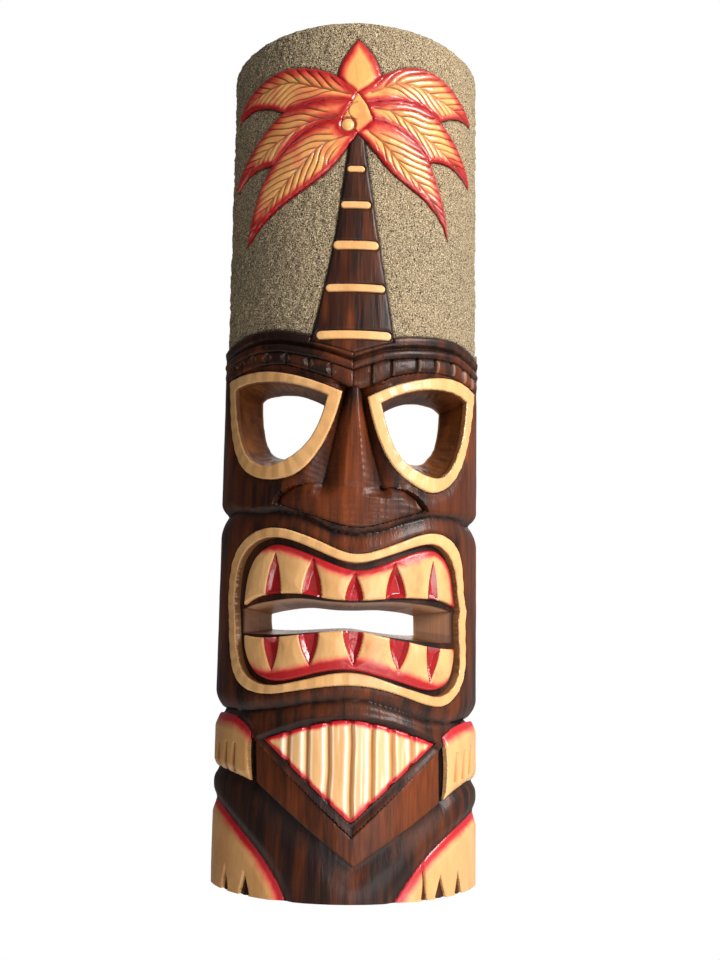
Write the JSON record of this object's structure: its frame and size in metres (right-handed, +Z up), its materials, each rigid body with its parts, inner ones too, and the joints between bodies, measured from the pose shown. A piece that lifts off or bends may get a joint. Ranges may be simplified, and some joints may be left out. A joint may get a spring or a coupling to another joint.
{
  "type": "carved tiki wall mask",
  "caption": "Tall half-log tiki mask with eye and mouth openings, a palm relief on a sanded top, a hollowed back and a swinging hanging ring.",
  "frame": {"origin": "flat back of the carving, centre line, bottom end", "axes": "+X to the viewer's right, front of the mask towards -Y so +Y points into the wall, +Z up"},
  "size_m": [0.1554, 0.0584, 0.5],
  "materials": {
    "apron_paint": "cream wood with pink and golden stain, satin",
    "cream_wood": "pale carved wood, clear satin lacquer",
    "dark_wood": "stained and waxed, gloss",
    "frond_paint": "translucent orange to coral stain, gloss",
    "frond_paint_deep": "translucent deep red stain, gloss",
    "plated_steel": "nickel plated",
    "red_paint": "deep red gloss paint",
    "sand_skin": "glued sand, matt and grainy"
  },
  "bodies": {
    "mask": {"apron": "apron_paint", "belt": "dark_wood", "brow_left": "dark_wood", "brow_right": "dark_wood", "carved_shell": "dark_wood", "coconut": "frond_paint_deep", "crown_heart": "cream_wood", "eye_rim_left": "cream_wood", "eye_rim_right": "cream_wood", "foot_left": "apron_paint", "foot_right": "apron_paint", "frond_bud": "frond_paint", "frond_lower_left": "frond_paint", "frond_lower_right": "frond_paint", "frond_middle_left": "frond_paint", "frond_middle_right": "frond_paint", "frond_upper_left": "frond_paint", "frond_upper_right": "frond_paint", "gum_lower": "red_paint", "gum_upper": "red_paint", "hand_left": "apron_paint", "hand_right": "apron_paint", "hanger_screw_lower": "plated_steel", "hanger_screw_upper": "plated_steel", "hanger_strap": "plated_steel", "mouth_rim": "cream_wood", "nose": "dark_wood", "palm_trunk": "dark_wood", "sand_coat": "sand_skin", "teeth_lower": "cream_wood", "teeth_upper": "cream_wood", "trunk_band_1": "cream_wood", "trunk_band_2": "cream_wood", "trunk_band_3": "cream_wood", "trunk_band_4": "cream_wood", "trunk_band_5": "cream_wood"},
    "ring": {"hanger_ring": "plated_steel"}
  },
  "joints": [
    {"name": "ring_swing", "type": "hinge", "parent": "mask", "child": "ring", "pos_m": [0, -0.00407, 0.463], "axis": [1, 0, 0], "range_deg": [-4, 150]}
  ]
}
